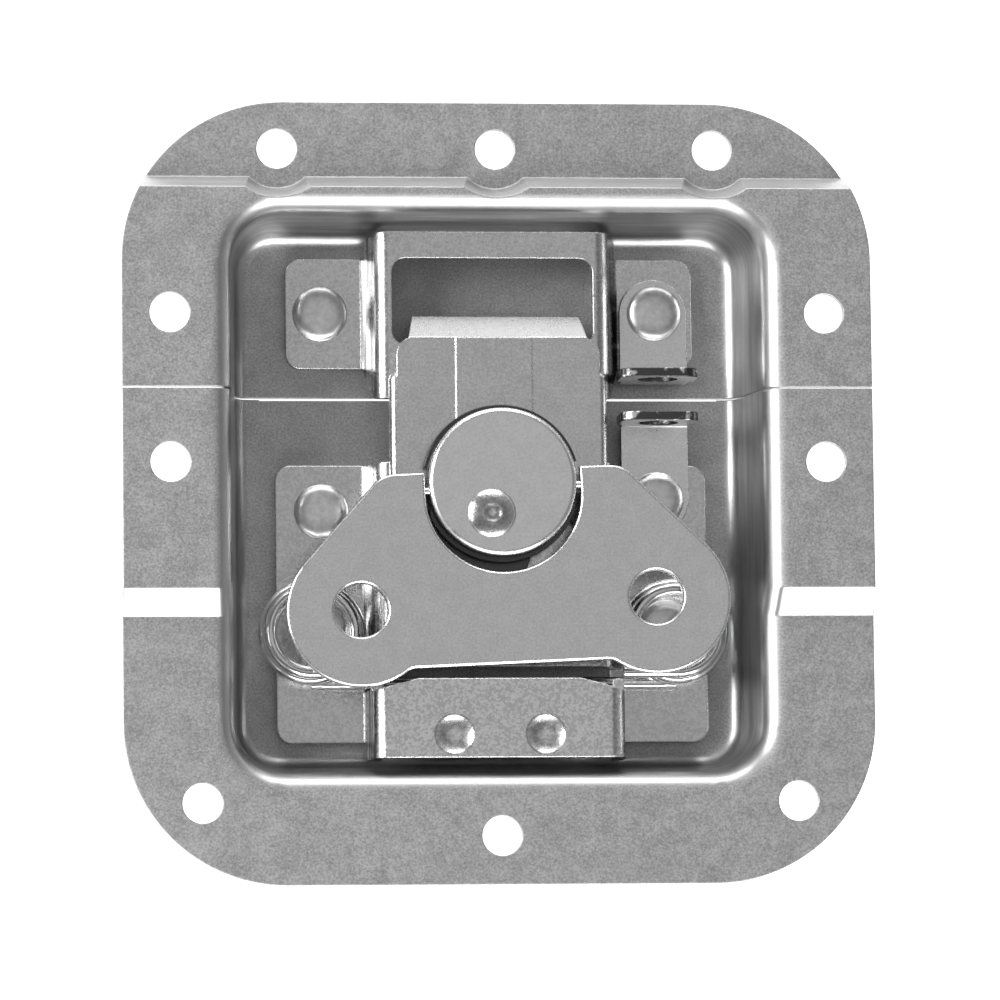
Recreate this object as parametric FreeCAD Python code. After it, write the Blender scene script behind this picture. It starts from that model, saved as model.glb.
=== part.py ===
import FreeCAD, Part
import math
import os

# Recessed butterfly latch for a transport case, in two stamped halves that meet at the seam y = 0.
# Millimetres. +Z points out of the case, +Y towards the lid, and z = 0 is the rear face of the
# raised flange, where it lies on the case's edge profile. The latch is drawn closed.
V = FreeCAD.Vector
Z_AXIS = V(0, 0, 1)
X_AXIS = V(1, 0, 0)
Y_AXIS = V(0, 1, 0)

# Stamped plate
SHEET = 1.2
PLATE_WIDTH = 103.6
LID_LENGTH = 39.8
BASE_LENGTH = 68.2
PLATE_CORNER_R = 22.4
SEAM_GAP = 0.2
SEAM_FLOOR_GAP = 0.35
SEAM_FLOOR_HALF_X = 32.0
STEP_HEIGHT = 2.2
STEP_LOW_CREST_Y = -27.6
STEP_LOW_RUN = 3.8
STEP_TOP_CREST_Y = 27.7
STEP_TOP_RUN = 1.7
SCALLOP_R = 5.5

# Mounting holes in the flange
HOLE_R = 2.75
SIDE_HOLE_X = PLATE_WIDTH / 2 - 6.6
SIDE_HOLE_Y = 10.3
TOP_HOLE_X = 30.2
TOP_HOLE_Y = LID_LENGTH - 6.5
CORNER_HOLE_X = PLATE_WIDTH / 2 - 10.8
CORNER_HOLE_Y = BASE_LENGTH - 11.3
BOTTOM_HOLE_Y = BASE_LENGTH - 6.7

# Dish
DISH_DEPTH = 14.0
FLOOR_SHIFT_X = -0.4
RIM_SHIFT_X = 0.2
FLOOR_TOP_Y = 22.7
FLOOR_BOTTOM_Y = -51.1
FLOOR_CORNER_R = 5.3
WALL_DRAFT_DEG = 9.0
FLOOR_BEND_R = 2.4
RIM_BEND_R = 2.0
BEND_STEPS = 5

# Brackets
BRACKET_SHEET = 1.6
BRACKET_FOOT_HALF_X = 17.9
BRACKET_WALL_LEAN = 2.2
BRIDGE_WALL_LEAN = 0.6
EAR_CORNER_R = 2.2
PLATE_HEIGHT = 5.0
KEEPER_EAR_INSET = 1.6
KEEPER_EAR_TOP_Y = 19.35
KEEPER_EAR_BOTTOM_Y = 4.0
KEEPER_TOP_Y = 22.6
KEEPER_BOTTOM_Y = -0.6
KEEPER_CORNER_R = 2.2
KEEPER_HEEL = 3.2
WINDOW_HALF_X = 14.0
WINDOW_TOP_Y = 18.9
WINDOW_BOTTOM_Y = 6.8
WINDOW_CORNER_R = 2.0
EAR_REACH = 12.1
BASE_EAR_HALF_X = BRACKET_FOOT_HALF_X + EAR_REACH
KEEPER_EAR_HALF_X = BASE_EAR_HALF_X - KEEPER_EAR_INSET
BASE_EAR_TOP_Y = -9.5
BASE_EAR_BOTTOM_Y = -48.0
MAIN_PLATE_END_Y = -37.9
BRIDGE_HEIGHT = 9.3
BRIDGE_TOP_Y = -39.8
BRIDGE_BOTTOM_Y = -50.7
BRIDGE_CHAMFER_X = 6.7
BRIDGE_CHAMFER_Y = 2.0
BRIDGE_CHAMFER_DROP = 2.5
BRIDGE_WALL_FOOT = 2.0
DIMPLE_R = 3.0
DIMPLE_X = 6.3
DIMPLE_Y = -47.5
DIMPLE_DEPTH = 0.95
BEND_R = 0.8

# The dish floor reaches this far past the ears, and the spring's coils clear the bracket's foot.
FLOOR_MARGIN = 4.9
FLOOR_HALF_X = BASE_EAR_HALF_X + FLOOR_MARGIN
COIL_CLEARANCE = 0.4

# Rivets that hold brackets and tabs to the dish
RIVET_SHANK_R = 2.4
RIVET_HEAD_R = 3.85
RIVET_HEAD_H = 1.6
RIVET_TAIL_R = 3.6
RIVET_TAIL_H = 1.3
RIVET_X = BRACKET_FOOT_HALF_X + 5.4
RIVET_SHIFT_X = -0.3
KEEPER_RIVET_Y = 11.7
UPPER_LEFT_RIVET_Y = -15.9
UPPER_RIGHT_RIVET_Y = -14.35
LOWER_RIVET_X = BRACKET_FOOT_HALF_X + 6.3
LOWER_RIVET_Y = -32.0

# Padlock tabs
TAB_SHEET = 1.25
TAB_WIDTH = 9.4
TAB_CLEARANCE = 0.2
TAB_MIDDLE_X = BRACKET_FOOT_HALF_X + TAB_CLEARANCE + TAB_WIDTH / 2
TAB_EAR_WIDTH = 10.8
TAB_EAR_CORNER_R = 2.0
TAB_NECK = 1.8
TAB_HEIGHT = 8.05
TAB_LID_FACE_Y = 1.9
TAB_BASE_FACE_Y = -2.9
SHACKLE_HOLE_R = 2.75
SHACKLE_BELOW_TOP = 3.7

# Cam, turning on the pivot rivet
PIVOT_X = -1.1
PIVOT_Y = -17.3
PIVOT_SHANK_R = 2.4
PIVOT_HEAD_R = 3.3
PIVOT_HEAD_H = 0.9
PIVOT_HEAD_LIFT = 0.1
PIVOT_DISH_R = 2.6
PIVOT_DISH_DEPTH = 0.45
PIVOT_TAIL_R = 3.6
PIVOT_TAIL_H = 1.2
RUNNING_GAP = 0.05
SLIDE_GAP = 0.3
CAM_GAP = 0.15
DISC_OFFSET_X = 1.6
DISC_OFFSET_Y = 4.4
DISC_R = 10.25
DISC_EDGE_R = 0.8
FLANGE_R = 10.9
FLANGE_THICK = 1.8
THROW = 4.1
ECCENTRIC_R = 7.4
ECCENTRIC_LIFT = 0.1
DISC_PROUD = 0.4
YOKE_CORNER_R = 6.4
OPENING_TURN_DEG = 180.0

# Hook plate
HOOK_SHEET = 1.6
HOOK_HALF_X = 15.1
HOOK_NOSE_HALF_X = 14.1
HOOK_SHIFT_X = 0.5
HOOK_BEND_Y = 7.6
HOOK_SHOULDER_Y = 3.0
HOOK_BOTTOM_Y = -34.5
HOOK_CORNER_R = 2.4
HOOK_EDGE_R = 1.2
HOOK_SIDE_R = 1.08
LIP_HALF_TIP = 11.7
LIP_HALF_ROOT = 12.4
LIP_REACH = 3.3
LIP_DROP = 2.7
RIB_HALF_X = 5.3
RIB_SHIFT_X = -0.6
RIB_RISE = 0.1

# Wing handle, drawn in its own frame: origin a little below the disc's centre, wings towards -y
WING_SHEET = 1.6
WING_EDGE_R = 0.45
WING_TILT_DEG = 2.5
WING_DROP = 1.1
CUTOUT_Y = -0.6
WING_TOP_Y = 2.8
SHOULDER_X = 17.1
SHOULDER_R = 4.2
SHOULDER_SLOPE_DEG = 44.0
LOBE_X = 20.4
LOBE_Y = -15.95
LOBE_R = 10.3
WING_HOLE_Y = -15.7
WING_HOLE_R = 3.7
WING_BOTTOM_Y = -24.0
WING_FILLET_R = 2.2
WAIST_INSET = 3.0
HINGE_Y = 0.3
HINGE_EAR_GAP = 0.45
HINGE_PIN_R = 0.5
HINGE_PIN_START_X = 8.8
HINGE_PIN_LENGTH = 4.0
HINGE_ROOM_X = 10.0
HINGE_ROOM_DEPTH = 3.0

# Double torsion spring under the wings
WIRE_R = 0.9
COIL_R = 7.0
COIL_X = BRACKET_FOOT_HALF_X + COIL_CLEARANCE + COIL_R
COIL_Y = -32.9
COIL_TURNS = 2
COIL_PITCH = 1.9

# Levels that follow from the sizes above
Z_RAISED = SHEET
Z_PANEL = SHEET - STEP_HEIGHT
Z_FLOOR = Z_RAISED - DISH_DEPTH
Z_FLOOR_BACK = Z_FLOOR - SHEET
Z_EAR = Z_FLOOR + BRACKET_SHEET
Z_PLATE = Z_EAR + PLATE_HEIGHT
Z_BRIDGE = Z_EAR + BRIDGE_HEIGHT
Z_TAB = Z_EAR + TAB_SHEET
Z_HOOK_LOW = Z_PLATE + SLIDE_GAP
Z_HOOK = Z_HOOK_LOW + HOOK_SHEET
Z_CAM_FLANGE = Z_HOOK + RIB_RISE + CAM_GAP
Z_CAM_FLANGE_TOP = Z_CAM_FLANGE + FLANGE_THICK
Z_WING_LOW = Z_BRIDGE + SLIDE_GAP
Z_WING = Z_WING_LOW + WING_SHEET
Z_HINGE = Z_WING_LOW + WING_SHEET / 2
Z_DISC = Z_WING + DISC_PROUD

# Cutting shapes reach past what they cut, and two lengths within SAME are one
THROUGH = 60.0
OVERCUT = 1.0
SAME = 1e-6

# Places that follow
DISC_X = PIVOT_X + DISC_OFFSET_X
DISC_Y = PIVOT_Y + DISC_OFFSET_Y
OVER_CENTRE = math.atan2(DISC_OFFSET_X, DISC_OFFSET_Y)
ECC_X = PIVOT_X - THROW * math.sin(OVER_CENTRE)
ECC_Y = PIVOT_Y - THROW * math.cos(OVER_CENTRE)
HOOK_TRAVEL = 2 * THROW * math.cos(OVER_CENTRE)
WING_TILT = math.radians(WING_TILT_DEG)
WING_X = DISC_X + WING_DROP * math.sin(WING_TILT)
WING_Y = DISC_Y - WING_DROP * math.cos(WING_TILT)


def box(x0, x1, y0, y1, z0, z1):
    """A box between two corners."""
    return Part.makeBox(x1 - x0, y1 - y0, z1 - z0, V(x0, y0, z0))


def cylinder(x, y, z0, z1, r):
    """An upright cylinder between two levels."""
    return Part.makeCylinder(r, z1 - z0, V(x, y, z0), Z_AXIS)


def rounded_wire(x0, x1, y0, y1, r, z):
    """A closed rectangle with round corners, at one level."""
    s = r * (1 - math.sqrt(0.5))
    points = [V(x0 + r, y0, z), V(x1 - r, y0, z), V(x1 - s, y0 + s, z), V(x1, y0 + r, z),
              V(x1, y1 - r, z), V(x1 - s, y1 - s, z), V(x1 - r, y1, z), V(x0 + r, y1, z),
              V(x0 + s, y1 - s, z), V(x0, y1 - r, z), V(x0, y0 + r, z), V(x0 + s, y0 + s, z)]
    edges = []
    for k in range(0, 12, 3):
        edges.append(Part.makeLine(points[k], points[k + 1]))
        edges.append(Part.Arc(points[k + 1], points[k + 2], points[(k + 3) % 12]).toShape())
    return Part.Wire(edges)


def rounded_block(x0, x1, y0, y1, r, z0, z1):
    """A block whose upright corners are round."""
    return Part.Face(rounded_wire(x0, x1, y0, y1, r, z0)).extrude(V(0, 0, z1 - z0))


def polygon_block(points, direction):
    """A prism on a closed run of points."""
    return Part.Face(Part.makePolygon(points + [points[0]])).extrude(direction)


def same(u, v):
    """Whether two lengths are one."""
    return abs(u - v) < SAME


def round_edges(shape, r, wanted):
    """The shape with one radius on each edge whose two ends pass the test."""
    picked = []
    for edge in shape.Edges:
        if wanted(edge.Vertexes[0].Point, edge.Vertexes[-1].Point):
            picked.append(edge)
    return shape.makeFillet(r, picked)


def raised_band(inset):
    """The raised middle of the flange, its surface set in by the sheet for the rear side."""
    crest, foot = low_step_ends(inset)
    top = inset * math.tan(math.atan2(STEP_HEIGHT, STEP_TOP_RUN) / 2)
    x = -PLATE_WIDTH
    points = [V(x, foot, Z_PANEL - inset),
              V(x, crest, Z_RAISED - inset),
              V(x, STEP_TOP_CREST_Y - top, Z_RAISED - inset),
              V(x, STEP_TOP_CREST_Y + STEP_TOP_RUN - top, Z_PANEL - inset)]
    return polygon_block(points, V(2 * PLATE_WIDTH, 0, 0))


def scallop(x, inset):
    """The round dip that lets a screw head sit beside the top step."""
    foot = SCALLOP_R + inset * math.tan(math.atan2(STEP_HEIGHT, STEP_TOP_RUN) / 2)
    height = STEP_HEIGHT + inset
    slope = STEP_TOP_RUN / STEP_HEIGHT
    return Part.makeCone(foot, foot + height * slope, height, V(x, TOP_HOLE_Y, Z_PANEL - inset), Z_AXIS)


def dish_profile(inset, z_rim):
    """Height and outward distance from the floor's corner line, from the floor up to the rim."""
    draft = math.radians(WALL_DRAFT_DEG)
    low_r = FLOOR_BEND_R + inset
    rim_r = RIM_BEND_R + SHEET - inset
    run = (z_rim - Z_FLOOR) * math.tan(draft)
    low_x = -FLOOR_BEND_R / math.tan((math.pi / 2 + draft) / 2)
    rim_x = run + (RIM_BEND_R + SHEET) / math.tan((math.pi / 2 + draft) / 2)
    points = []
    for k in range(BEND_STEPS + 1):
        a = (math.pi / 2 - draft) * k / BEND_STEPS
        points.append((Z_FLOOR + FLOOR_BEND_R - low_r * math.cos(a), low_x + low_r * math.sin(a)))
    for k in range(BEND_STEPS + 1):
        a = (math.pi / 2 - draft) * (1 - k / BEND_STEPS)
        z = z_rim - (RIM_BEND_R + SHEET) + rim_r * math.cos(a)
        points.append((z, rim_x - rim_r * math.sin(a)))
    return points


def dish_levels(inset, z_rim):
    """The dish's profile, carried on upwards past the rim."""
    levels = dish_profile(inset, z_rim)
    levels.append((z_rim + THROUGH, levels[-1][1]))
    return levels


def dish_sides(z, out):
    """Left and right ends of the dish at one level: its floor lies a little to the left of its rim."""
    rise = (min(z, Z_RAISED) - Z_FLOOR) / DISH_DEPTH
    middle = FLOOR_SHIFT_X + (RIM_SHIFT_X - FLOOR_SHIFT_X) * rise
    return middle - FLOOR_HALF_X - out, middle + FLOOR_HALF_X + out


def dish_void(inset, z_rim):
    """What the dish leaves open, down to the floor, with its bends in short flats."""
    sections = []
    for z, out in dish_levels(inset, z_rim):
        left, right = dish_sides(z, out)
        sections.append(rounded_wire(left, right, FLOOR_BOTTOM_Y - out, FLOOR_TOP_Y + out,
                                     FLOOR_CORNER_R + out, z))
    return Part.makeLoft(sections, True, True)


def low_step_ends(inset):
    """Where the lower step's slope starts and ends, on either side of the sheet."""
    shift = inset * math.tan(math.atan2(STEP_HEIGHT, STEP_LOW_RUN) / 2)
    return STEP_LOW_CREST_Y + shift, STEP_LOW_CREST_Y - STEP_LOW_RUN + shift


def ramp_void(inset):
    """What the dish leaves open beside the lower step, where its rim comes down with the slope."""
    crest, foot = low_step_ends(inset)
    ends = []
    for y, z_rim in ((crest, Z_RAISED), (foot, Z_PANEL)):
        left = [V(dish_sides(z, out)[0], y, z) for z, out in dish_levels(inset, z_rim)]
        right = [V(dish_sides(z, out)[1], y, z) for z, out in dish_levels(inset, z_rim)]
        ends.append(Part.makePolygon(right + left[::-1] + [right[0]]))
    return Part.makeLoft(ends, True, True)


def formed_block(inset):
    """A block whose upper side is one side of the stamped sheet."""
    outline = rounded_block(-PLATE_WIDTH / 2, PLATE_WIDTH / 2, -BASE_LENGTH, LID_LENGTH, PLATE_CORNER_R,
                            -THROUGH, Z_RAISED)
    slab = box(-PLATE_WIDTH, PLATE_WIDTH, -2 * BASE_LENGTH, 2 * LID_LENGTH, -THROUGH, Z_PANEL - inset)
    body = slab.fuse(raised_band(inset)).common(outline)
    for x in (-TOP_HOLE_X, 0.0, TOP_HOLE_X):
        body = body.cut(scallop(x, inset))
    crest, foot = low_step_ends(inset)
    high = dish_void(inset, Z_RAISED).common(box(-THROUGH, THROUGH, crest, THROUGH, -THROUGH, THROUGH))
    low = dish_void(inset, Z_PANEL).common(box(-THROUGH, THROUGH, -2 * THROUGH, foot, -THROUGH, THROUGH))
    return body.cut(high.fuse(ramp_void(inset)).fuse(low))


def rivet_places():
    """Each rivet that passes through the dish floor: name, place and the level it clamps down on."""
    left, right = RIVET_SHIFT_X - RIVET_X, RIVET_SHIFT_X + RIVET_X
    return [("rivet_keeper_left", left, KEEPER_RIVET_Y, Z_EAR),
            ("rivet_keeper_right", right, KEEPER_RIVET_Y, Z_TAB),
            ("rivet_base_upper_left", left, UPPER_LEFT_RIVET_Y, Z_EAR),
            ("rivet_base_upper_right", right, UPPER_RIGHT_RIVET_Y, Z_TAB),
            ("rivet_base_lower_left", -LOWER_RIVET_X, LOWER_RIVET_Y, Z_EAR),
            ("rivet_base_lower_right", LOWER_RIVET_X, LOWER_RIVET_Y, Z_EAR)]


def drill_rivets(shape):
    """Rivet holes, the rivets' own size, through whatever lies on the floor."""
    for name, x, y, z in rivet_places():
        shape = shape.cut(cylinder(x, y, -THROUGH, THROUGH, RIVET_SHANK_R))
    return shape


def mounting_holes():
    """Centres of the ten screw holes in the flange."""
    holes = [(sx * SIDE_HOLE_X, sy * SIDE_HOLE_Y) for sx in (-1, 1) for sy in (-1, 1)]
    holes += [(x, TOP_HOLE_Y) for x in (-TOP_HOLE_X, 0.0, TOP_HOLE_X)]
    holes += [(x, -CORNER_HOLE_Y) for x in (-CORNER_HOLE_X, CORNER_HOLE_X)]
    return holes + [(0.0, -BOTTOM_HOLE_Y)]


def stamped_sheet():
    """The whole stamped plate with its dish, before it is parted at the seam."""
    sheet = formed_block(0.0).cut(formed_block(SHEET))
    sheet = sheet.common(box(-THROUGH, THROUGH, -2 * THROUGH, THROUGH, Z_FLOOR_BACK, THROUGH))
    for x, y in mounting_holes():
        sheet = sheet.cut(cylinder(x, y, -THROUGH, THROUGH, HOLE_R))
    sheet = sheet.cut(box(-SEAM_FLOOR_HALF_X, SEAM_FLOOR_HALF_X, SEAM_GAP / 2 - SEAM_FLOOR_GAP, SEAM_GAP / 2,
                          Z_FLOOR_BACK - OVERCUT, Z_FLOOR + OVERCUT))
    return drill_rivets(sheet)


def hat(foot, lean, height, y0, y1):
    """A strip bent to a hat: walls that lean in and a plate on top, with round bends outside."""
    top = foot - lean
    lean_in = lean / height
    t = BRACKET_SHEET
    wall = t * math.sqrt(1 + lean_in ** 2)
    z0 = Z_FLOOR
    z1 = Z_EAR + height
    bottom = foot + lean_in * t
    outer = [V(-bottom, y0, z0), V(bottom, y0, z0), V(top, y0, z1), V(-top, y0, z1)]
    inner_top = top - wall + lean_in * t
    inner = [V(-bottom + wall, y0, z0), V(bottom - wall, y0, z0), V(inner_top, y0, z1 - t),
             V(-inner_top, y0, z1 - t)]
    solid = round_edges(polygon_block(outer, V(0, y1 - y0, 0)), BEND_R + t,
                        lambda a, b: same(a.z, z1) and same(b.z, z1) and same(a.x, b.x))
    void = round_edges(polygon_block(inner, V(0, y1 - y0, 0)), BEND_R,
                       lambda a, b: same(a.z, z1 - t) and same(b.z, z1 - t) and same(a.x, b.x))
    return solid.cut(void)


def ears(half_x, y0, y1, foot):
    """The two flat ears of a bracket on the dish floor."""
    plate = rounded_block(-half_x, half_x, y0, y1, EAR_CORNER_R, Z_FLOOR, Z_EAR)
    return plate.cut(box(-foot, foot, y0 - OVERCUT, y1 + OVERCUT, Z_FLOOR - OVERCUT, Z_EAR + OVERCUT))


def keeper_bracket():
    """The lid's keeper: a hat with a window that the hook's lip reaches into."""
    inner = BRACKET_FOOT_HALF_X - BRACKET_SHEET
    body = hat(BRACKET_FOOT_HALF_X, BRACKET_WALL_LEAN, PLATE_HEIGHT, KEEPER_BOTTOM_Y, KEEPER_TOP_Y)
    body = body.common(rounded_block(-BRACKET_FOOT_HALF_X, BRACKET_FOOT_HALF_X, KEEPER_BOTTOM_Y,
                                     KEEPER_TOP_Y, KEEPER_CORNER_R, Z_FLOOR, Z_PLATE))
    body = body.fuse(ears(KEEPER_EAR_HALF_X, KEEPER_EAR_BOTTOM_Y, KEEPER_EAR_TOP_Y, inner))
    body = body.cut(box(-THROUGH, THROUGH, KEEPER_EAR_TOP_Y, KEEPER_TOP_Y, Z_FLOOR - OVERCUT,
                        Z_EAR + BRACKET_SHEET / 2))
    low = Z_FLOOR - OVERCUT
    heel = [V(-THROUGH, KEEPER_EAR_BOTTOM_Y, low), V(-THROUGH, KEEPER_EAR_BOTTOM_Y, Z_EAR),
            V(-THROUGH, KEEPER_BOTTOM_Y, Z_EAR + KEEPER_HEEL), V(-THROUGH, KEEPER_BOTTOM_Y, low)]
    body = body.cut(polygon_block(heel, V(2 * THROUGH, 0, 0)))
    window = rounded_block(-WINDOW_HALF_X, WINDOW_HALF_X, WINDOW_BOTTOM_Y, WINDOW_TOP_Y, WINDOW_CORNER_R,
                           Z_EAR, Z_PLATE + OVERCUT)
    body = body.cut(window)
    return drill_rivets(body.removeSplitter())


def base_bracket():
    """The base's bracket: ears, a low plate that carries the cam and a high bridge at its foot."""
    inner = BRACKET_FOOT_HALF_X - BRACKET_SHEET
    low = hat(BRACKET_FOOT_HALF_X, BRACKET_WALL_LEAN, PLATE_HEIGHT, MAIN_PLATE_END_Y, BASE_EAR_TOP_Y)
    high = hat(BRACKET_FOOT_HALF_X, BRIDGE_WALL_LEAN, BRIDGE_HEIGHT, BRIDGE_BOTTOM_Y, BRIDGE_TOP_Y)
    for side in (-1, 1):
        x0 = side * (BRACKET_FOOT_HALF_X - BRIDGE_CHAMFER_X)
        x1 = side * (BRACKET_FOOT_HALF_X + OVERCUT)
        z = Z_BRIDGE - BRIDGE_CHAMFER_DROP
        corner = [V(x0, BRIDGE_TOP_Y + OVERCUT, z), V(x1, BRIDGE_TOP_Y + OVERCUT, z),
                  V(x1, BRIDGE_TOP_Y - BRIDGE_CHAMFER_Y, z), V(x0, BRIDGE_TOP_Y, z)]
        high = high.cut(polygon_block(corner, V(0, 0, 2 * BRIDGE_CHAMFER_DROP)))
    high = high.cut(box(-THROUGH, THROUGH, BRIDGE_BOTTOM_Y, BASE_EAR_BOTTOM_Y, Z_FLOOR - OVERCUT,
                        Z_EAR + BRIDGE_WALL_FOOT))
    body = low.fuse(high).fuse(ears(BASE_EAR_HALF_X, BASE_EAR_BOTTOM_Y, BASE_EAR_TOP_Y, inner))
    for side in (-1, 1):
        ball_r = (DIMPLE_R ** 2 + DIMPLE_DEPTH ** 2) / (2 * DIMPLE_DEPTH)
        centre = V(side * DIMPLE_X, DIMPLE_Y, Z_BRIDGE - DIMPLE_DEPTH + ball_r)
        body = body.cut(Part.makeSphere(ball_r, centre))
    body = body.cut(cylinder(PIVOT_X, PIVOT_Y, Z_PLATE - BRACKET_SHEET - OVERCUT, Z_PLATE + OVERCUT,
                             PIVOT_SHANK_R))
    run_y = COIL_Y - COIL_R
    half = WIRE_R + SLIDE_GAP
    notch = box(-BRACKET_FOOT_HALF_X - OVERCUT, BRACKET_FOOT_HALF_X + OVERCUT, run_y - half, run_y + half,
                Z_EAR, Z_EAR + COIL_TURNS * COIL_PITCH + 2 * WIRE_R + SLIDE_GAP)
    return drill_rivets(body.cut(notch).removeSplitter())


def padlock_tab(side, face_y, rivet_y):
    """An angle with a flat foot under a rivet and a wider upright ear with the shackle hole."""
    x0, x1 = TAB_MIDDLE_X - TAB_WIDTH / 2, TAB_MIDDLE_X + TAB_WIDTH / 2
    flat = box(x0, x1, min(rivet_y, face_y), max(rivet_y, face_y), Z_EAR, Z_TAB)
    flat = flat.fuse(cylinder(TAB_MIDDLE_X, rivet_y, Z_EAR, Z_TAB, TAB_WIDTH / 2))
    back_y = face_y + side * TAB_SHEET
    low_y, high_y = min(face_y, back_y), max(face_y, back_y)
    neck = box(x0, x1, low_y, high_y, Z_EAR, Z_TAB + TAB_NECK + TAB_EAR_CORNER_R)
    crown = Z_TAB + TAB_HEIGHT
    ear = box(TAB_MIDDLE_X - TAB_EAR_WIDTH / 2, TAB_MIDDLE_X + TAB_EAR_WIDTH / 2, low_y, high_y,
              Z_TAB + TAB_NECK, crown)
    ear = round_edges(ear, TAB_EAR_CORNER_R,
                      lambda a, b: same(a.z, crown) and same(b.z, crown) and same(a.x, b.x))
    z_hole = crown - SHACKLE_BELOW_TOP
    hole = Part.makeCylinder(SHACKLE_HOLE_R, TAB_SHEET + 2 * OVERCUT,
                             V(TAB_MIDDLE_X, low_y - OVERCUT, z_hole), Y_AXIS)
    return drill_rivets(flat.fuse(neck).fuse(ear).cut(hole).removeSplitter())


def dome(x, y, z, r, h):
    """A flat ball cap standing on a level."""
    ball_r = (r ** 2 + h ** 2) / (2 * h)
    ball = Part.makeSphere(ball_r, V(x, y, z + h - ball_r))
    return ball.common(cylinder(x, y, z, z + h + OVERCUT, r))


def dish_rivet(x, y, seat):
    """A domed rivet through whatever it clamps, headed over behind the dish floor."""
    shank = cylinder(x, y, Z_FLOOR_BACK, seat, RIVET_SHANK_R)
    head = dome(x, y, seat, RIVET_HEAD_R, RIVET_HEAD_H)
    tail = cylinder(x, y, Z_FLOOR_BACK - RIVET_TAIL_H, Z_FLOOR_BACK, RIVET_TAIL_R)
    return shank.fuse(head).fuse(tail).removeSplitter()


def pivot_rivet():
    """The rivet the cam turns on: a low head with a dished middle, a shank and a flat tail."""
    low = Z_PLATE - BRACKET_SHEET
    seat = Z_DISC + PIVOT_HEAD_LIFT
    shank = cylinder(PIVOT_X, PIVOT_Y, low, seat, PIVOT_SHANK_R)
    head = dome(PIVOT_X, PIVOT_Y, seat, PIVOT_HEAD_R, PIVOT_HEAD_H)
    dish_z = seat + PIVOT_HEAD_H - PIVOT_DISH_DEPTH + PIVOT_DISH_R
    head = head.cut(Part.makeSphere(PIVOT_DISH_R, V(PIVOT_X, PIVOT_Y, dish_z)))
    tail = cylinder(PIVOT_X, PIVOT_Y, low - PIVOT_TAIL_H, low, PIVOT_TAIL_R)
    return shank.fuse(head).fuse(tail).removeSplitter()


def to_wing(shape):
    """Carries a shape from the wing's own frame to its place on the latch."""
    shape.rotate(V(0, 0, 0), Z_AXIS, WING_TILT_DEG)
    shape.translate(V(WING_X, WING_Y, 0))
    return shape


def hinge_flats():
    """Room beside the cam's flange for the wing's ears, which swing down above the hinge."""
    room = []
    for side in (-1, 1):
        x0 = side * HINGE_ROOM_X
        x1 = side * (FLANGE_R + HINGE_PIN_LENGTH)
        room.append(to_wing(box(min(x0, x1), max(x0, x1), -HINGE_ROOM_DEPTH, WING_TOP_Y + OVERCUT,
                                Z_CAM_FLANGE - OVERCUT, Z_CAM_FLANGE_TOP + OVERCUT)))
    return room


def hinge_pin_bar(side, r):
    """The line of one hinge pin, from inside the disc out into the wing's ear."""
    start = V(side * HINGE_PIN_START_X, HINGE_Y, Z_HINGE)
    bar = Part.makeCylinder(r, HINGE_PIN_LENGTH, start, V(side, 0, 0))
    return to_wing(bar)


def cam():
    """Disc, flange and eccentric in one turned piece, bored for the pivot and the hinge pins."""
    disc = cylinder(DISC_X, DISC_Y, Z_CAM_FLANGE_TOP, Z_DISC, DISC_R)
    disc = round_edges(disc, DISC_EDGE_R, lambda a, b: same(a.z, Z_DISC) and same(b.z, Z_DISC))
    flange = cylinder(DISC_X, DISC_Y, Z_CAM_FLANGE, Z_CAM_FLANGE_TOP, FLANGE_R)
    for room in hinge_flats():
        flange = flange.cut(room)
    eccentric = cylinder(ECC_X, ECC_Y, Z_PLATE + ECCENTRIC_LIFT, Z_CAM_FLANGE, ECCENTRIC_R)
    body = disc.fuse(flange).fuse(eccentric)
    body = body.cut(cylinder(PIVOT_X, PIVOT_Y, -THROUGH, THROUGH, PIVOT_SHANK_R + RUNNING_GAP))
    for side in (-1, 1):
        body = body.cut(hinge_pin_bar(side, HINGE_PIN_R))
    return body.removeSplitter()


def yoke():
    """The opening in the hook plate that the eccentric works in, clear of it all the way round."""
    steps = 60
    x_low, x_high, y_low, y_high = 0.0, 0.0, 0.0, 0.0
    for k in range(steps + 1):
        turn = math.radians(OPENING_TURN_DEG) * k / steps
        x = THROW * math.sin(turn - OVER_CENTRE) + THROW * math.sin(OVER_CENTRE)
        y = THROW * math.cos(OVER_CENTRE) - THROW * math.cos(turn - OVER_CENTRE) - HOOK_TRAVEL * k / steps
        x_low, x_high = min(x_low, x), max(x_high, x)
        y_low, y_high = min(y_low, y), max(y_high, y)
    reach = ECCENTRIC_R + SLIDE_GAP
    return rounded_block(ECC_X + x_low - reach, ECC_X + x_high + reach, ECC_Y + y_low - reach,
                         ECC_Y + y_high + reach, YOKE_CORNER_R, Z_HOOK_LOW - OVERCUT, Z_HOOK + OVERCUT)


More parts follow.
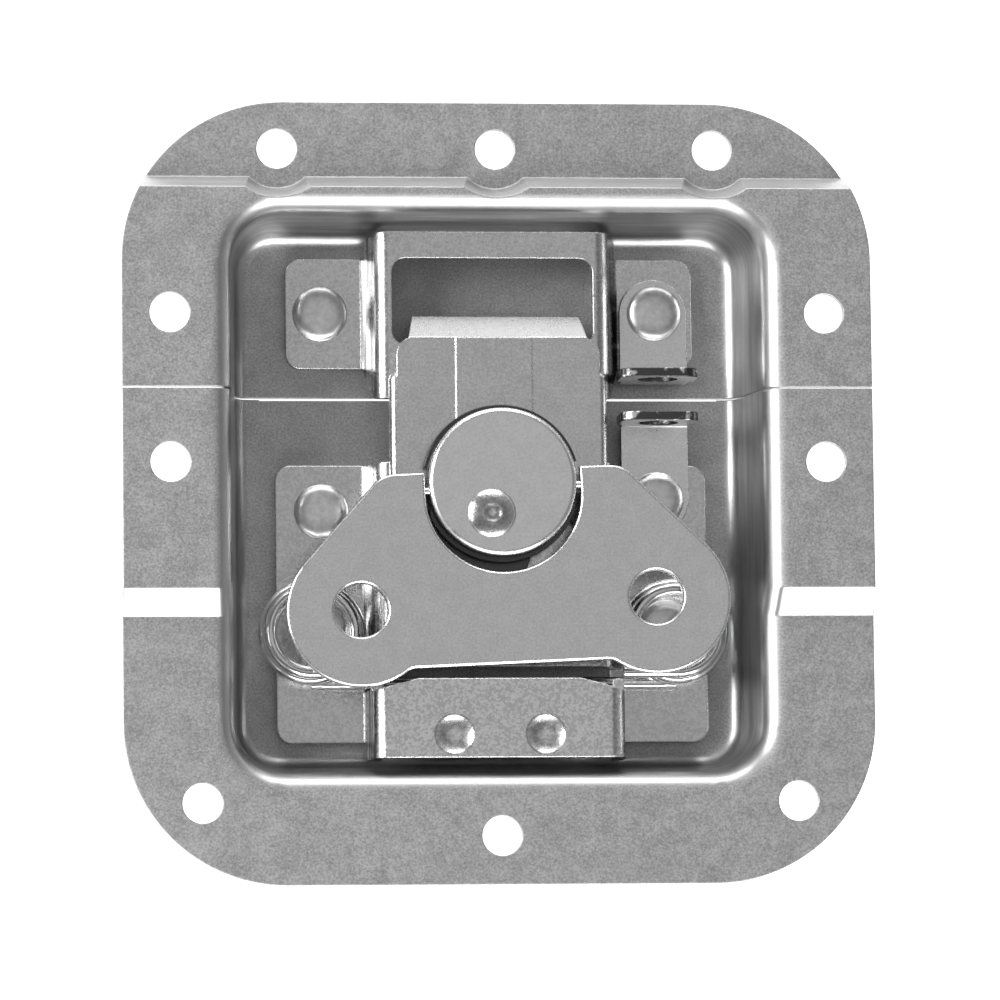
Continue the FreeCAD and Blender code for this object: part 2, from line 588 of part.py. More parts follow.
def hook_lip():
    """The sloped lip that drops from the hook plate's bend into the keeper's window."""
    slope = LIP_DROP / LIP_REACH
    thick = HOOK_SHEET * math.sqrt(1 + slope ** 2)
    back = HOOK_BEND_Y - HOOK_SHEET
    tip = HOOK_BEND_Y + LIP_REACH
    x = HOOK_SHIFT_X
    low = Z_HOOK - LIP_DROP - thick
    outline = polygon_block([V(x - LIP_HALF_ROOT, back, low), V(x + LIP_HALF_ROOT, back, low),
                             V(x + LIP_HALF_ROOT, HOOK_BEND_Y, low), V(x + LIP_HALF_TIP, tip, low),
                             V(x - LIP_HALF_TIP, tip, low), V(x - LIP_HALF_ROOT, HOOK_BEND_Y, low)],
                            V(0, 0, Z_HOOK - low))
    side = -THROUGH
    profile = [V(side, back, Z_HOOK), V(side, HOOK_BEND_Y, Z_HOOK), V(side, tip, Z_HOOK - LIP_DROP),
               V(side, tip, low), V(side, HOOK_BEND_Y - (thick - HOOK_SHEET) / slope, Z_HOOK_LOW),
               V(side, back, Z_HOOK_LOW)]
    return polygon_block(profile, V(2 * THROUGH, 0, 0)).common(outline)


def hook_plate():
    """The sliding hook: a nose with the lip, a wider back with rounded sides, a low rib, the yoke."""
    back = rounded_block(HOOK_SHIFT_X - HOOK_HALF_X, HOOK_SHIFT_X + HOOK_HALF_X, HOOK_BOTTOM_Y,
                         HOOK_SHOULDER_Y, HOOK_EDGE_R, Z_HOOK_LOW, Z_HOOK)
    back = round_edges(back, HOOK_SIDE_R,
                       lambda a, b: same(a.z, Z_HOOK) and same(b.z, Z_HOOK) and same(a.x, b.x))
    nose = rounded_block(HOOK_SHIFT_X - HOOK_NOSE_HALF_X, HOOK_SHIFT_X + HOOK_NOSE_HALF_X,
                         HOOK_SHOULDER_Y - 3 * HOOK_CORNER_R, HOOK_BEND_Y, HOOK_CORNER_R, Z_HOOK_LOW, Z_HOOK)
    x = HOOK_SHIFT_X + RIB_SHIFT_X
    rib = box(x - RIB_HALF_X, x + RIB_HALF_X, HOOK_BOTTOM_Y + HOOK_CORNER_R, HOOK_BEND_Y,
              Z_HOOK - HOOK_SHEET / 2, Z_HOOK + RIB_RISE)
    plate = back.fuse(nose).fuse(hook_lip()).fuse(rib)
    return plate.cut(yoke()).removeSplitter()


def wing_outline():
    """The wing plate's outline, with round shoulders, round lobes and the cut-out for the disc."""
    slope = math.radians(SHOULDER_SLOPE_DEG)
    tx = LOBE_X + LOBE_R * math.cos(slope)
    ty = LOBE_Y + LOBE_R * math.sin(slope)
    corner_x = tx - (WING_TOP_Y - ty) * math.tan(slope)
    z = Z_WING_LOW
    points = [V(-tx, ty, z), V(-corner_x, WING_TOP_Y, z), V(corner_x, WING_TOP_Y, z), V(tx, ty, z),
              V(LOBE_X, LOBE_Y, z), V(LOBE_X - WAIST_INSET, WING_BOTTOM_Y, z),
              V(WAIST_INSET - LOBE_X, WING_BOTTOM_Y, z), V(-LOBE_X, LOBE_Y, z)]
    plate = round_edges(polygon_block(points, V(0, 0, WING_SHEET)), SHOULDER_R,
                        lambda a, b: same(a.x, b.x) and same(a.y, WING_TOP_Y) and same(b.y, WING_TOP_Y))
    for side in (-1, 1):
        plate = plate.fuse(cylinder(side * LOBE_X, LOBE_Y, z, z + WING_SHEET, LOBE_R))
    foot_y = WING_BOTTOM_Y
    plate = round_edges(plate.removeSplitter(), WING_FILLET_R,
                        lambda a, b: same(a.x, b.x) and same(a.y, foot_y) and same(b.y, foot_y))
    low, high = z - OVERCUT, z + WING_SHEET + OVERCUT
    half = DISC_R + HINGE_EAR_GAP
    plate = plate.cut(cylinder(0, CUTOUT_Y, low, high, half))
    plate = plate.cut(box(-half, half, CUTOUT_Y, WING_TOP_Y + OVERCUT, low, high))
    for side in (-1, 1):
        plate = plate.cut(cylinder(side * LOBE_X, WING_HOLE_Y, low, high, WING_HOLE_R))
    return round_edges(plate, WING_EDGE_R, lambda a, b: same(a.z, Z_WING) and same(b.z, Z_WING))


def wing_handle():
    """The butterfly wing, bored in its two ears for the hinge pins."""
    plate = to_wing(wing_outline())
    for side in (-1, 1):
        plate = plate.cut(hinge_pin_bar(side, HINGE_PIN_R + RUNNING_GAP))
    return plate.removeSplitter()


def spring_side(side):
    """Half of the spring: from the middle of the straight run into one coil, wound upwards."""
    z = Z_EAR + WIRE_R
    run_y = COIL_Y - COIL_R
    coil = Part.makeHelix(COIL_PITCH, COIL_PITCH * COIL_TURNS, COIL_R)
    ring = Part.Wire(Part.makeCircle(WIRE_R, V(COIL_R, 0, 0), Y_AXIS))
    turns = Part.Wire(coil.Edges).makePipeShell([ring], True, True)
    turns.rotate(V(0, 0, 0), Z_AXIS, -90)
    turns.translate(V(COIL_X, COIL_Y, z))
    run = Part.makeCylinder(WIRE_R, COIL_X, V(0, run_y, z), X_AXIS)
    knee = Part.makeSphere(WIRE_R, V(COIL_X, run_y, z))
    half = turns.fuse(run).fuse(knee)
    return half if side > 0 else half.mirror(V(0, 0, 0), X_AXIS)


def wing_spring():
    """One wire: a coil round each lower rivet and a straight run that joins them under the bridge."""
    return spring_side(1).fuse(spring_side(-1)).removeSplitter()


def export(shape, name):
    """One STEP file per piece, with a line for the log."""
    shape.exportStep("parts/" + name + ".step")
    print(name, "solids", len(shape.Solids), "valid", shape.isValid(), "volume", round(shape.Volume, 2))


os.makedirs("parts", exist_ok=True)
sheet = stamped_sheet()
lid_side = box(-THROUGH, THROUGH, SEAM_GAP / 2, THROUGH, -THROUGH, THROUGH)
base_side = box(-THROUGH, THROUGH, -2 * THROUGH, -SEAM_GAP / 2, -THROUGH, THROUGH)
export(sheet.common(lid_side), "lid_dish")
export(sheet.common(base_side), "base_dish")
export(keeper_bracket(), "keeper_bracket")
export(base_bracket(), "base_bracket")
export(padlock_tab(1, TAB_LID_FACE_Y, KEEPER_RIVET_Y), "padlock_tab_lid")
export(padlock_tab(-1, TAB_BASE_FACE_Y, UPPER_RIGHT_RIVET_Y), "padlock_tab_base")
for rivet_name, rivet_x, rivet_y, rivet_seat in rivet_places():
    export(dish_rivet(rivet_x, rivet_y, rivet_seat), rivet_name)
export(pivot_rivet(), "pivot_rivet")
export(cam(), "cam")
export(hook_plate(), "hook_plate")
export(wing_handle(), "wing_handle")
export(hinge_pin_bar(-1, HINGE_PIN_R), "hinge_pin_left")
export(hinge_pin_bar(1, HINGE_PIN_R), "hinge_pin_right")
export(wing_spring(), "wing_spring")
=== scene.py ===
import math

import bmesh
import bpy
from mathutils import Matrix, Vector


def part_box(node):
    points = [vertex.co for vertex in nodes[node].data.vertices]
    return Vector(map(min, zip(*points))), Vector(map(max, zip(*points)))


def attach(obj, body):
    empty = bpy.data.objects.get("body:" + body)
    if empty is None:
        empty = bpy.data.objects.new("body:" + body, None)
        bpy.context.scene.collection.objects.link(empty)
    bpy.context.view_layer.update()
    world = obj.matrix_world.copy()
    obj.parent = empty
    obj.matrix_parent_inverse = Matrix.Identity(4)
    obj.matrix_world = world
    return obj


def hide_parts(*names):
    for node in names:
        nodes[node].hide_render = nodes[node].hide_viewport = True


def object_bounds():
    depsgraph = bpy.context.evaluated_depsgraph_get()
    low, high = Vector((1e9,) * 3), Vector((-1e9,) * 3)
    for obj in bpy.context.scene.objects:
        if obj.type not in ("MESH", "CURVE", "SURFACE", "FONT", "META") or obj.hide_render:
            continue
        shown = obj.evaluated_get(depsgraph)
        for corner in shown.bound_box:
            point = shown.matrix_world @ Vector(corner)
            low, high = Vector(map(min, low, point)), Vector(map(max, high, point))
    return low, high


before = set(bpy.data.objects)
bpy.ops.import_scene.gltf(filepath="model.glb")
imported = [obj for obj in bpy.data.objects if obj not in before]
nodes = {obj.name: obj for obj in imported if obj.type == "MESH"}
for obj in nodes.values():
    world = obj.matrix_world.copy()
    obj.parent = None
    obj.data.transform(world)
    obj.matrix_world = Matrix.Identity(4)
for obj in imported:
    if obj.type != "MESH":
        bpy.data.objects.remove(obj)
cad_low, cad_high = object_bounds()

# Bench, camera and lamps.
# The latch lies on its back on a pale bench, on its dish and rivet tails. The camera looks down
# at it from a metre, a little from the left and from the foot. One soft box hangs overhead and
# three stand round the bench.
scene = bpy.context.scene
camera_away = 1.0
looks_at = Vector((0.00006, -0.01547, 0.00002))
toward_camera = Vector((-0.10674, -0.10590, 0.98863)).normalized()
image_up = Vector((0.00022, 0.99431, 0.10653))
camera_data = bpy.data.cameras.new("camera")
camera_data.sensor_width = 36.0
camera_data.lens = 262.34
camera_data.clip_start = 0.05
camera_data.clip_end = 20.0
camera = bpy.data.objects.new("camera", camera_data)
scene.collection.objects.link(camera)
turn = Matrix((image_up.cross(toward_camera), image_up, toward_camera)).transposed()
camera.rotation_mode = "QUATERNION"
camera.rotation_quaternion = turn.to_quaternion()
camera.location = looks_at + toward_camera * camera_away
scene.camera = camera
scene.view_settings.view_transform = "Standard"
scene.view_settings.look = "None"


def grey(level):
    """A grey of one level, as a colour."""
    return (level, level, level, 1)


class Wire:
    """One output socket of a node. Arithmetic on it adds Math nodes to the same tree."""

    def __init__(self, board, socket):
        self.board = board
        self.socket = socket

    def maths(self, operation, a, b):
        return self.board.node("ShaderNodeMath", {"operation": operation}, {0: a, 1: b})

    def __add__(self, other):
        return self.maths("ADD", self, other)

    def __radd__(self, other):
        return self.maths("ADD", other, self)

    def __sub__(self, other):
        return self.maths("SUBTRACT", self, other)

    def __rsub__(self, other):
        return self.maths("SUBTRACT", other, self)

    def __mul__(self, other):
        return self.maths("MULTIPLY", self, other)

    def __rmul__(self, other):
        return self.maths("MULTIPLY", other, self)

    def __truediv__(self, other):
        return self.maths("DIVIDE", self, other)

    def __pow__(self, other):
        return self.maths("POWER", self, other)

    def __gt__(self, other):
        return self.maths("GREATER_THAN", self, other)

    def __lt__(self, other):
        return self.maths("LESS_THAN", self, other)

    def __abs__(self):
        return self.maths("ABSOLUTE", self, 0.0)


class Board:
    """A node tree being wired up."""

    def __init__(self, tree):
        self.tree = tree

    def node(self, kind, settings, sockets, output=0):
        """Adds one node: its settings first, then the values or wires of its sockets."""
        made = self.tree.nodes.new(kind)
        for key, value in settings.items():
            if key == "stops":
                for place, (at, level) in enumerate(value):
                    stops = made.color_ramp.elements
                    stop = stops[place] if place < 2 else stops.new(at)
                    stop.position = at
                    stop.color = grey(level)
            else:
                setattr(made, key, value)
        for key, value in sockets.items():
            if isinstance(value, Wire):
                self.tree.links.new(value.socket, made.inputs[key])
            else:
                made.inputs[key].default_value = value
        return Wire(self, made.outputs[output])

    def parts(self, vector):
        """The three numbers of a vector."""
        made = self.node("ShaderNodeSeparateXYZ", {}, {0: vector}).socket.node
        return [Wire(self, made.outputs[axis]) for axis in range(3)]

    def maximum(self, a, b):
        return self.node("ShaderNodeMath", {"operation": "MAXIMUM"}, {0: a, 1: b})

    def ramp(self, value, stops):
        """A grey for the value, between stops of (value, level)."""
        return self.node("ShaderNodeValToRGB", {"stops": stops}, {"Fac": value})


class Finish(Board):
    """The node tree of one surface finish, with a Principled shader at its end."""

    def __init__(self, name):
        self.material = bpy.data.materials.new(name)
        self.material.use_nodes = True
        Board.__init__(self, self.material.node_tree)
        self.tree.nodes.clear()
        self.shader = self.tree.nodes.new("ShaderNodeBsdfPrincipled")
        output = self.tree.nodes.new("ShaderNodeOutputMaterial")
        self.tree.links.new(self.shader.outputs[0], output.inputs[0])

    def feed(self, name, value):
        """Sets one socket of the shader to a number, a colour or a wire."""
        if isinstance(value, Wire):
            self.tree.links.new(value.socket, self.shader.inputs[name])
        else:
            self.shader.inputs[name].default_value = value

    def place(self):
        """The place on the piece, in metres."""
        return self.node("ShaderNodeTexCoord", {}, {}, "Object")

    def facing(self):
        """The direction that the surface faces, in the latch's axes."""
        return self.node("ShaderNodeTexCoord", {}, {}, "Normal")

    def noise(self, place, scale, detail=2.0, rough=0.5):
        return self.node("ShaderNodeTexNoise", {}, {"Vector": place, "Scale": scale, "Detail": detail,
                                                    "Roughness": rough})

    def mix(self, factor, a, b):
        return self.node("ShaderNodeMix", {"data_type": "RGBA"}, {0: factor, 6: a, 7: b}, 2)


bench_finish = Finish("bench_paper")
paper = bench_finish.noise(bench_finish.place(), 900.0)
bench_finish.feed("Base Color", bench_finish.mix(paper, grey(0.93), grey(0.97)))
bench_finish.feed("Roughness", 0.9)
bench_finish.feed("Emission Color", grey(1))
bench_finish.feed("Emission Strength", 0.8)
bench_mesh = bpy.data.meshes.new("bench")
bench_half = 3
bench_level = cad_low.z - 0.0001
corners = [(-bench_half, -bench_half, bench_level), (bench_half, -bench_half, bench_level),
           (bench_half, bench_half, bench_level), (-bench_half, bench_half, bench_level)]
bench_mesh.from_pydata(corners, [], [(0, 1, 2, 3)])
bench_mesh.materials.append(bench_finish.material)
bench = bpy.data.objects.new("bench", bench_mesh)
scene.collection.objects.link(bench)

# The room glows low down, most of all towards the latch's head and foot, and is dim overhead.
room = bpy.data.worlds.new("room")
room.use_nodes = True
walls = Board(room.node_tree)
along, height = walls.parts(walls.node("ShaderNodeTexCoord", {}, {}, "Generated"))[1:]
low_glow = walls.ramp(height, [(0.0, 0.55), (0.12, 1.0), (0.5, 0.35), (0.78, 0.0), (1.0, 0.0)])
daylight = 0.13 + low_glow * (0.22 + 0.78 * along * along)
background = room.node_tree.nodes["Background"]
background.inputs[0].default_value = grey(1)
room.node_tree.links.new(daylight.socket, background.inputs[1])
scene.world = room


def lamp(name, place, width, height, watts):
    """A soft box that faces the latch's middle."""
    latch_middle = Vector((0, -0.015, 0))
    data = bpy.data.lights.new(name, "AREA")
    data.shape = "RECTANGLE"
    data.size = width
    data.size_y = height
    data.energy = watts
    made = bpy.data.objects.new(name, data)
    made.location = place
    made.rotation_mode = "QUATERNION"
    made.rotation_quaternion = (Vector(place) - latch_middle).to_track_quat("Z", "Y")
    scene.collection.objects.link(made)


lamp("box_overhead", (0.1, 0.1, 1.6), width=1.2, height=1.2, watts=1.25)
lamp("box_left", (-1.0, 0.2, 0.62), width=0.8, height=0.5, watts=11.0)
lamp("box_foot", (0.1, -1.1, 0.55), width=1.3, height=0.6, watts=12.0)
lamp("box_head", (0.0, 1.2, 0.5), width=1.2, height=0.5, watts=7.0)

# Stamped dish halves.
# Both halves are pressed from one thickness of zinc-plated steel sheet: a deep dish, a flange
# with a raised middle and pierced screw holes. They meet at the seam and are not joined.
cloud_scale = 110.0
mottle_scale = 420.0
line_scale = 850.0
spangle_scale = 3200.0
along_the_bends = (0.06, 0.06, 1.0)
# The dark grey of the painted shade on upright faces.
painted_wall_shade_grey = grey(0.12)
pit_depth = 0.00003


def zinc(name, light, dark, grain, rough, worn, spangle=0.0, ease=0.0003, burnish=0.0, drawn=0.0):
    """Bright zinc plating: a fine grain, patches, spangles and faint pits on bare metal.
    The walls and bends that the die wore smooth are burnished. Upright faces get lines along the bends,
    painted darker by drawn: die lines with painted shade standing for dark reflections."""
    finish = Finish(name)
    place = finish.place()
    facing = finish.parts(finish.facing())
    steep = finish.ramp(abs(facing[2]), [(0.90, 1.0), (0.985, 0.0)])
    upright = finish.ramp(abs(facing[2]), [(0.45, 1.0), (0.75, 0.0)])
    cloud = finish.noise(place, cloud_scale, 3.0)
    fine = finish.noise(place, grain, 2.0, 0.7)
    pits = finish.noise(place, grain * 0.35, 1.0)
    mottle = finish.noise(place, mottle_scale, 4.0, 0.65)
    squeezed = finish.node("ShaderNodeVectorMath", {"operation": "MULTIPLY"}, {0: place, 1: along_the_bends})
    lines = finish.ramp(finish.noise(squeezed, line_scale, 2.0), [(0.40, 1.0), (0.56, 0.0)])
    shade = cloud * 0.06 + fine * 0.70 + mottle * 0.24
    if spangle:
        cell = finish.node("ShaderNodeTexVoronoi", {}, {"Vector": place, "Scale": spangle_scale}, "Color")
        flake = finish.node("ShaderNodeSeparateColor", {}, {0: cell})
        shade = shade + (flake - 0.5) * spangle
    calm = 1.0 - steep * burnish
    shade = 0.5 + (shade - 0.5) * calm + steep * burnish * 0.06
    tone = finish.ramp(shade, [(0.38, 0.0), (0.62, 1.0)])
    # Painted shade: upright faces turn towards a dark grey in lines along the bends, standing for dark
    # reflections on the walls.
    wall_lines_and_painted_shade = upright * (0.30 + lines * 0.65) * drawn
    finish.feed("Base Color", finish.mix(wall_lines_and_painted_shade, finish.mix(tone, grey(dark), grey(light)), painted_wall_shade_grey))
    finish.feed("Metallic", 1.0)
    polish = steep * burnish * 0.28
    finish.feed("Roughness", rough - polish + worn * (mottle - 0.5) + 0.12 * (fine - 0.5) * calm)
    relief = (fine * 0.7 + finish.ramp(pits, [(0.28, 0.0), (0.38, 1.0)]) * 0.3) * calm
    soft_edge = finish.node("ShaderNodeBevel", {"samples": 6}, {"Radius": ease})
    finish.feed("Normal", finish.node("ShaderNodeBump", {}, {"Strength": 0.30, "Distance": pit_depth,
                                                             "Height": relief, "Normal": soft_edge}))
    return finish


def paint_shade_or_tint(finish, where, level):
    """Turns a finish towards one grey where the mask says so: mostly painted shade, elsewhere a plain darker
    tone.
    """
    clean = Wire(finish, finish.shader.inputs["Base Color"].links[0].from_socket)
    finish.feed("Base Color", finish.mix(where, clean, grey(level)))


def smooth_copy(node, bevel, sharp=38):
    """A merged copy of a CAD node's mesh, with bends below the sharp angle shaded round and its
    edges eased by the bevel."""
    mesh = nodes[node].data.copy()
    mesh.name = node + "_plated"
    work = bmesh.new()
    work.from_mesh(mesh)
    bmesh.ops.remove_doubles(work, verts=work.verts, dist=1e-6)
    bmesh.ops.dissolve_limit(work, angle_limit=math.radians(0.5), verts=work.verts, edges=work.edges)
    for face in work.faces:
        face.smooth = True
    for edge in work.edges:
        edge.smooth = edge.calc_face_angle(math.pi) < math.radians(sharp)
    work.to_mesh(mesh)
    work.free()
    mesh.materials.clear()
    piece = bpy.data.objects.new(mesh.name, mesh)
    scene.collection.objects.link(piece)
    if bevel:
        ease = piece.modifiers.new("eased_edges", "BEVEL")
        ease.width = bevel
        ease.segments = 2
        ease.limit_method = "ANGLE"
        ease.angle_limit = math.radians(50)
    keep = piece.modifiers.new("flat_faces", "WEIGHTED_NORMAL")
    keep.mode = "FACE_AREA"
    keep.weight = 60
    keep.keep_sharp = True
    return piece


def carry(piece, body, slot, finish, *stands_for):
    """Gives a new piece its finish and its body, and hides the CAD nodes that it stands for. The slot is not
    used.
    """
    if not piece.data.materials:
        piece.data.materials.append(finish.material)
    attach(piece, body)
    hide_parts(*stands_for)


sheet_zinc = zinc("stamped_zinc", light=0.66, dark=0.385, grain=3600.0, rough=0.58, worn=0.10,
                  burnish=0.8, drawn=0.4)
for half in ("lid_dish", "base_dish"):
    carry(smooth_copy(half, bevel=0.00012, sharp=24), "plate", "sheet", sheet_zinc, half)

# Keeper and base bracket.
# Both are blanked and bent from thicker strip into hats with flat ears on the dish floor. The
# keeper has the window that the hook's lip reaches into. The base bracket carries the cam and
# ends in a bridge. It sparkles with a fine spangle, and its ears are coloured darker.
keeper_zinc = zinc("keeper_zinc", light=0.91, dark=0.64, grain=2800.0, rough=0.26, worn=0.16, drawn=1.0)
carry(smooth_copy("keeper_bracket", bevel=0.00015), "plate", "bracket", keeper_zinc, "keeper_bracket")
bridge_zinc = zinc("bridge_zinc", light=1.0, dark=0.74, grain=2200.0, rough=0.27, worn=0.36,
                   spangle=0.60, drawn=1.0)
above_the_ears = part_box("base_bracket")[0].z + 0.0018
bridge_z = bridge_zinc.parts(bridge_zinc.place())[2]
# Below this level, on the ears, the colour is turned halfway towards a darker grey.
paint_shade_or_tint(bridge_zinc, (bridge_z < above_the_ears) * 0.5, 0.64)
carry(smooth_copy("base_bracket", bevel=0.00015), "plate", "bracket", bridge_zinc, "base_bracket")

# Padlock tabs.
# Two small angles stand back to back at the seam for a padlock. Their faces are plated. Their
# cut edges are painted nearly black, partly the bare cut steel and partly painted shade and
# dark reflection, with a few random spots left bright as painted glints.
tab_zinc = zinc("tab_zinc", light=1.0, dark=0.84, grain=2600.0, rough=0.30, worn=0.16, ease=0.00012)
above_the_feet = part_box("padlock_tab_lid")[0].z + 0.0025
facing_x, _, facing_z = tab_zinc.parts(tab_zinc.facing())
tab_z = tab_zinc.parts(tab_zinc.place())[2]
on_side = abs(facing_x) > 0.6
on_crown = (facing_z > 0.3) * (tab_z > above_the_feet)
# Painted glints: a few random spots on the cut edges stay bright. Painted shade: the rest of the cut edges
# go nearly black.
painted_glints = tab_zinc.ramp(tab_zinc.noise(tab_zinc.place(), 700.0, 3.0), [(0.58, 0.0), (0.66, 1.0)])
cut_edges_and_painted_shade = tab_zinc.maximum(on_side, on_crown) * (1 - painted_glints)
paint_shade_or_tint(tab_zinc, cut_edges_and_painted_shade * 0.93, 0.05)
for tab in ("padlock_tab_lid", "padlock_tab_base"):
    carry(smooth_copy(tab, bevel=0.0001), "plate", "tab", tab_zinc, tab)


# Dish rivets.
# Six steel rivets clamp the brackets' ears, and on the right the tabs' feet, to the dish floor.
# Each has a low dome with a rounded rim and is headed over flat behind the floor.
class Jig(Board):
    """A Geometry Nodes tree with named inputs that is run once on a piece and taken off again."""

    def __init__(self, name, inputs):
        Board.__init__(self, bpy.data.node_groups.new(name, "GeometryNodeTree"))
        face = self.tree.interface
        face.new_socket("Geometry", in_out="INPUT", socket_type="NodeSocketGeometry")
        self.keys = {}
        for label in inputs:
            socket = face.new_socket(label, in_out="INPUT", socket_type="NodeSocketFloat")
            self.keys[label] = socket.identifier
        face.new_socket("Geometry", in_out="OUTPUT", socket_type="NodeSocketGeometry")
        self.start = self.tree.nodes.new("NodeGroupInput")
        self.end = self.tree.nodes.new("NodeGroupOutput")

    def size(self, label):
        return Wire(self, self.start.outputs[label])

    def point(self, x, y, z):
        return self.node("ShaderNodeCombineXYZ", {}, {0: x, 1: y, 2: z})

    def join(self, *shapes):
        """Joins several shapes into one geometry."""
        made = self.tree.nodes.new("GeometryNodeJoinGeometry")
        for shape in shapes:
            self.tree.links.new(shape.socket, made.inputs[0])
        return Wire(self, made.outputs[0])

    def close(self, shape, finish):
        """Ends the tree in smooth real faces with one finish."""
        smooth = self.node("GeometryNodeSetShadeSmooth", {}, {0: shape})
        real = self.node("GeometryNodeRealizeInstances", {}, {0: smooth})
        coated = self.node("GeometryNodeSetMaterial", {}, {0: real, "Material": finish.material})
        self.tree.links.new(coated.socket, self.end.inputs[0])

    def press(self, name, points, sizes):
        """Runs the tree on a few points with these sizes and gives a piece with a plain mesh."""
        mesh = bpy.data.meshes.new(name)
        mesh.from_pydata(points, [], [])
        piece = bpy.data.objects.new(name, mesh)
        scene.collection.objects.link(piece)
        step = piece.modifiers.new(name, "NODES")
        step.node_group = self.tree
        for label, value in sizes.items():
            step[self.keys[label]] = value
        bpy.context.view_layer.update()
        seen = piece.evaluated_get(bpy.context.evaluated_depsgraph_get())
        pressed = bpy.data.meshes.new_from_object(seen)
        piece.modifiers.remove(step)
        piece.data = pressed
        return piece


def crown(jig, radius, dome, shoulder, power):
    """A round head on level 0: a low dome on a shoulder that is rounded at the rim, closed below.
    The more power, the tighter the rim's round."""
    sunk = 0.00005
    blank = jig.node("GeometryNodeMeshCylinder", {"fill_type": "NGON"},
                     {"Vertices": 48, "Side Segments": 1, "Fill Segments": 9, "Radius": radius,
                      "Depth": 0.001})
    x, y, z = jig.parts(jig.node("GeometryNodeInputPosition", {}, {}))
    reach = ((x * x + y * y) ** 0.5) / radius
    spread = 2.0 - reach
    share = reach * spread
    arch = (jig.maximum(1.0 - share ** power, 0.0) ** 0.5) * shoulder + (1.0 - share * share) * dome
    upper = z > 0.0
    moved = jig.point(x * spread, y * spread, upper * arch - (1.0 - upper) * sunk)
    return jig.node("GeometryNodeSetPosition", {}, {0: blank, "Position": moved})


rivet_zinc = zinc("rivet_zinc", light=1.0, dark=0.78, grain=900.0, rough=0.33, worn=0.20, ease=0.0001)
rivet_jig = Jig("dish_rivets", ("Head Radius", "Dome", "Shoulder", "Tail Radius", "Tail Rise", "Tail Level"))
heads_at = Wire(rivet_jig, rivet_jig.start.outputs[0])
head = crown(rivet_jig, rivet_jig.size("Head Radius"), rivet_jig.size("Dome"),
             rivet_jig.size("Shoulder"), power=6.0)
heads = rivet_jig.node("GeometryNodeInstanceOnPoints", {}, {"Points": heads_at, "Instance": head})
head_x, head_y, _ = rivet_jig.parts(rivet_jig.node("GeometryNodeInputPosition", {}, {}))
below = rivet_jig.point(head_x, head_y, rivet_jig.size("Tail Level"))
tails_at = rivet_jig.node("GeometryNodeSetPosition", {}, {0: heads_at, "Position": below})
tail = crown(rivet_jig, rivet_jig.size("Tail Radius"), 0.0, rivet_jig.size("Tail Rise"), power=9.0)
tail = rivet_jig.node("GeometryNodeTransform", {}, {0: tail, "Rotation": (math.pi, 0.0, 0.0)})
tails = rivet_jig.node("GeometryNodeInstanceOnPoints", {}, {"Points": tails_at, "Instance": tail})
rivet_jig.close(rivet_jig.join(heads, tails), rivet_zinc)
dish_rivets = ("rivet_keeper_left", "rivet_keeper_right", "rivet_base_upper_left",
               "rivet_base_upper_right", "rivet_base_lower_left", "rivet_base_lower_right")
head_rise = 0.0016
tail_rise = 0.0013
seats = []
for rivet in dish_rivets:
    low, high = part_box(rivet)
    seats.append(((low.x + high.x) / 2, (low.y + high.y) / 2, high.z - head_rise))
rivets = rivet_jig.press("dish_rivets", seats, {
    "Head Radius": 0.00385, "Dome": 0.0003, "Shoulder": 0.0010,
    "Tail Radius": 0.0036, "Tail Rise": tail_rise, "Tail Level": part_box(dish_rivets[0])[0].z + tail_rise})
carry(rivets, "plate", "rivet", rivet_zinc, *dish_rivets)

# Wing spring.
# One length of round drawn wire: a straight run below the bridge, and at each side two turns
# round the lower rivet, the upper one closer in, with its leg resting against the bridge.
wire_zinc = zinc("drawn_wire", light=0.97, dark=0.82, grain=2400.0, rough=0.16, worn=0.10, ease=0.0001)
spring_low, spring_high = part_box("wing_spring")
wire_radius = 0.0009
coil_radius = 0.0070
spring_sizes = {
    "Wire Radius": wire_radius, "Coil Radius": coil_radius, "Upper Turn Radius": 0.0056, "Coil Rise": 0.0028,
    "Coil X": spring_high.x - coil_radius - wire_radius, "Coil Y": spring_low.y + coil_radius + wire_radius,
    "Run Level": spring_low.z + wire_radius, "Leg X": 0.0178}
spring_jig = Jig("wing_spring", spring_sizes)
wire_section = spring_jig.node("GeometryNodeCurvePrimitiveCircle", {},
                               {"Resolution": 14, "Radius": spring_jig.size("Wire Radius")})
coil_x = spring_jig.size("Coil X")
coil_y = spring_jig.size("Coil Y")
run_level = spring_jig.size("Run Level")
run_y = coil_y - spring_jig.size("Coil Radius")
leg_y = coil_y - spring_jig.size("Upper Turn Radius")
leg_level = run_level + spring_jig.size("Coil Rise")


def straight(x0, x1, y, z):
    """A straight length of wire along the latch's width."""
    ends = [spring_jig.point(x, y, z) for x in (x0, x1)]
    return spring_jig.node("GeometryNodeCurvePrimitiveLine", {}, {"Start": ends[0], "End": ends[1]})


lengths = [straight(coil_x * -1.0, coil_x, run_y, run_level)]
for side in (-1.0, 1.0):
    coil = spring_jig.node("GeometryNodeCurveSpiral", {}, {
        "Resolution": 40, "Rotations": 2.0, "Start Radius": spring_jig.size("Coil Radius"),
        "End Radius": spring_jig.size("Upper Turn Radius"), "Height": spring_jig.size("Coil Rise"),
        "Reverse": side < 0})
    centre = spring_jig.point(coil_x * side, coil_y, run_level)
    lengths.append(spring_jig.node("GeometryNodeTransform", {}, {0: coil, "Translation": centre,
                                                                 "Rotation": (0.0, 0.0, -math.pi / 2)}))
    lengths.append(straight(coil_x * side, spring_jig.size("Leg X") * side, leg_y, leg_level))
wires = spring_jig.node("GeometryNodeCurveToMesh", {}, {0: spring_jig.join(*lengths), 1: wire_section,
                                                        "Fill Caps": True})
spring_jig.close(wires, wire_zinc)
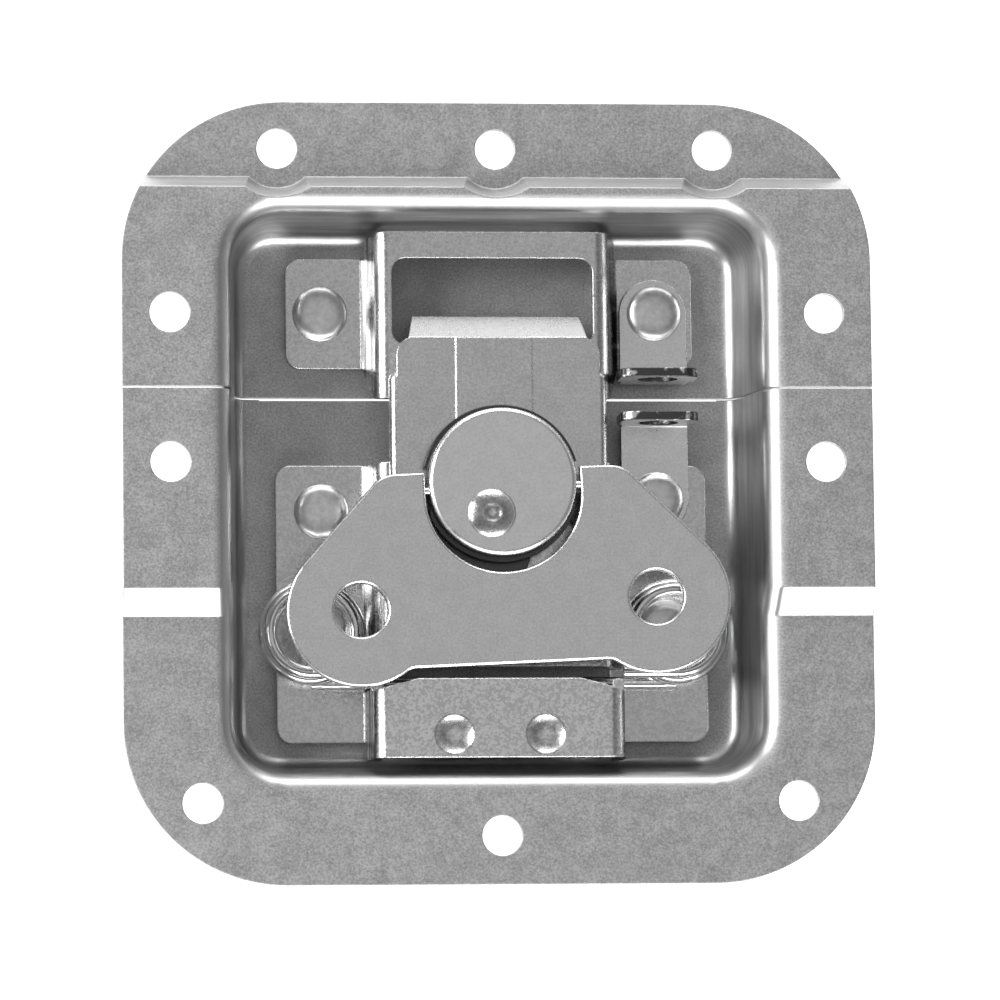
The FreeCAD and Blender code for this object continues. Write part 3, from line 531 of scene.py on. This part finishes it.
spring = spring_jig.press("wing_spring_wire", [(0.0, 0.0, 0.0)], spring_sizes)
carry(spring, "plate", "wire", wire_zinc, "wing_spring")

# Pivot rivet.
# The rivet that the cam turns on, a low polished head with a dished middle.
pivot_zinc = zinc("pivot_zinc", light=0.95, dark=0.70, grain=2400.0, rough=0.22, worn=0.10)
carry(smooth_copy("pivot_rivet", bevel=0.0), "plate", "rivet", pivot_zinc, "pivot_rivet")

# Hook plate.
# A flat steel tongue that slides under the cam, bent down to a lip at its head and stiffened by
# a low pressed rib. The lip is coloured a little darker, and the back under the cam is painted
# nearly black as painted shade.
hook_zinc = zinc("hook_zinc", light=0.91, dark=0.66, grain=2800.0, rough=0.26, worn=0.16)
lip_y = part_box("hook_plate")[1].y - 0.0032
under_cam_y = -0.014
hook_y = hook_zinc.parts(hook_zinc.place())[1]
# The lip is turned towards a darker grey.
paint_shade_or_tint(hook_zinc, (hook_y > lip_y) * 0.75, 0.42)
# Painted shade: the back under the cam goes nearly black, as the shadow seen through the gap round the disc.
paint_shade_or_tint(hook_zinc, (hook_y < under_cam_y) * 0.85, 0.05)
carry(smooth_copy("hook_plate", bevel=0.00015), "hook", "hook", hook_zinc, "hook_plate")

# Cam and hinge pins.
# A turned disc with a flange below it. Two short pins in its sides carry the wing. Below the
# disc's rounded edge the cam is painted nearly black, as painted shadow in the gap round the disc.
cam_zinc = zinc("cam_zinc", light=1.0, dark=0.88, grain=2400.0, rough=0.30, worn=0.20)
below_the_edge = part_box("cam")[1].z - 0.0010
cam_z = cam_zinc.parts(cam_zinc.place())[2]
# Painted shade: below the disc's rounded edge the cam goes nearly black.
paint_shade_or_tint(cam_zinc, (cam_z < below_the_edge) * 0.92, 0.04)
carry(smooth_copy("cam", bevel=0.00012), "cam", "cam", cam_zinc, "cam")
for pin in ("hinge_pin_left", "hinge_pin_right"):
    carry(smooth_copy(pin, bevel=0.0), "cam", "pin", cam_zinc, pin)

# Wing.
# The butterfly handle, blanked from strip, with a round cut-out for the disc and two finger
# holes.
wing_zinc = zinc("wing_zinc", light=0.96, dark=0.78, grain=3000.0, rough=0.27, worn=0.12)
carry(smooth_copy("wing_handle", bevel=0.0001), "wing", "wing", wing_zinc, "wing_handle")
